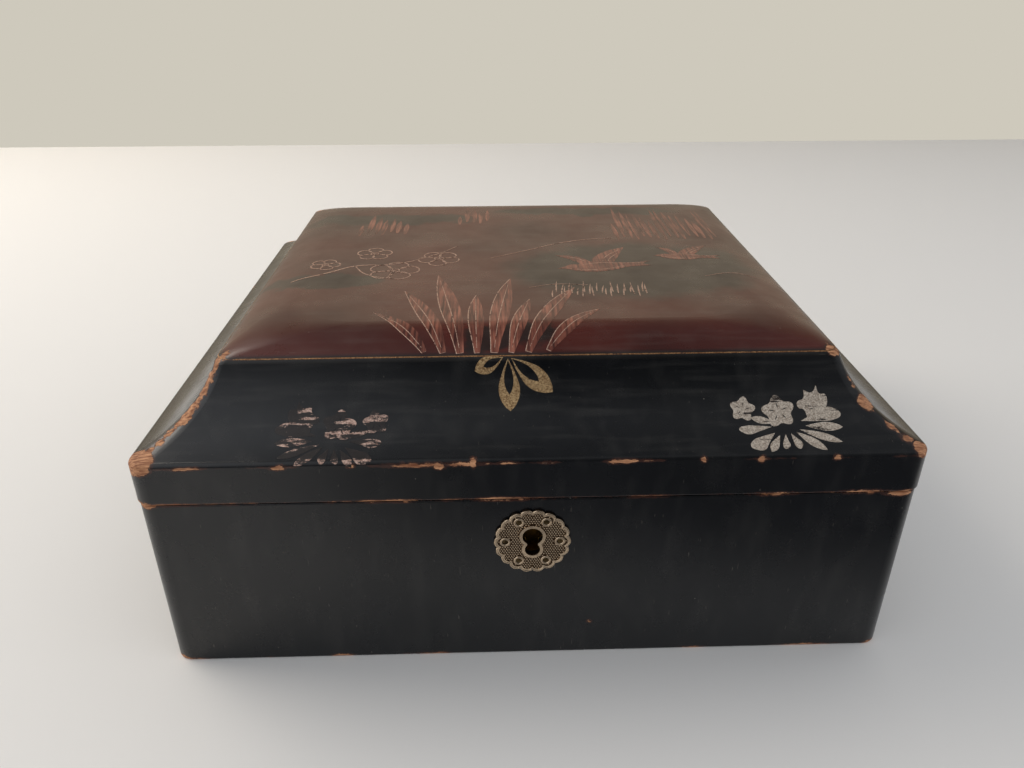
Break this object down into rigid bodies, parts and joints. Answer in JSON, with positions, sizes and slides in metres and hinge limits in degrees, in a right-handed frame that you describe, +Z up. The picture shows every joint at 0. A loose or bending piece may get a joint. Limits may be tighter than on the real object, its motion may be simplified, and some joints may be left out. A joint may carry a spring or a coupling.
{
  "type": "jewelry box",
  "caption": "Lacquered wooden jewelry box with a coved, pillow-topped lid that opens on rear hinges, a chased round keyhole plate and a sliding lock bolt.",
  "frame": {"origin": "centre of the underside of the base, on the surface the box rests on", "axes": "+Z up, front with the keyhole towards -Y, +X to the right seen from the front"},
  "size_m": [0.25, 0.2257, 0.1097],
  "materials": {
    "body_lacquer": "black lacquer on wood, polished, worn to bare wood on the edges",
    "lid_lacquer": "black lacquer on wood, polished, worn along the hips",
    "top_lacquer": "red-brown lacquer on wood with painted and gilt reeds",
    "lining_cloth": "plain silk over card",
    "plate_metal": "tarnished nickel brass, pressed and punched",
    "lock_brass": "dull brass",
    "hinge_brass": "dull brass",
    "screw_brass": "turned brass",
    "spring_steel": "blued"
  },
  "bodies": {
    "body": {"back_board": "body_lacquer", "base_panel": "body_lacquer", "body_hinge_screws": "screw_brass", "escutcheon": "plate_metal", "escutcheon_pins": "plate_metal", "floor_lining": "lining_cloth", "front_board": "body_lacquer", "left_board": "body_lacquer", "left_hinge_body_leaf": "hinge_brass", "left_hinge_pin": "hinge_brass", "lock_case": "lock_brass", "lock_plate": "lock_brass", "lock_screws": "screw_brass", "right_board": "body_lacquer", "right_hinge_body_leaf": "hinge_brass", "right_hinge_pin": "hinge_brass"},
    "lid": {"back_cove": "lid_lacquer", "front_cove": "lid_lacquer", "left_cove": "lid_lacquer", "left_hinge_lid_leaf": "hinge_brass", "lid_back_rail": "lid_lacquer", "lid_front_rail": "lid_lacquer", "lid_hinge_screws": "screw_brass", "lid_left_rail": "lid_lacquer", "lid_lining": "lining_cloth", "lid_right_rail": "lid_lacquer", "right_cove": "lid_lacquer", "right_hinge_lid_leaf": "hinge_brass", "strike_plate": "lock_brass", "strike_screws": "screw_brass", "top_board": "top_lacquer"},
    "bolt": {"lock_bolt": "lock_brass", "bolt_spring": "spring_steel"}
  },
  "joints": [
    {"name": "lid_hinge", "type": "hinge", "parent": "body", "child": "lid", "pos_m": [0, 0.1106, 0.0663], "axis": [-1, 0, 0], "range_deg": [0, 105]},
    {"name": "bolt_slide", "type": "slide", "parent": "body", "child": "bolt", "axis": [1, 0, 0], "range_m": [0, 0.004]}
  ]
}
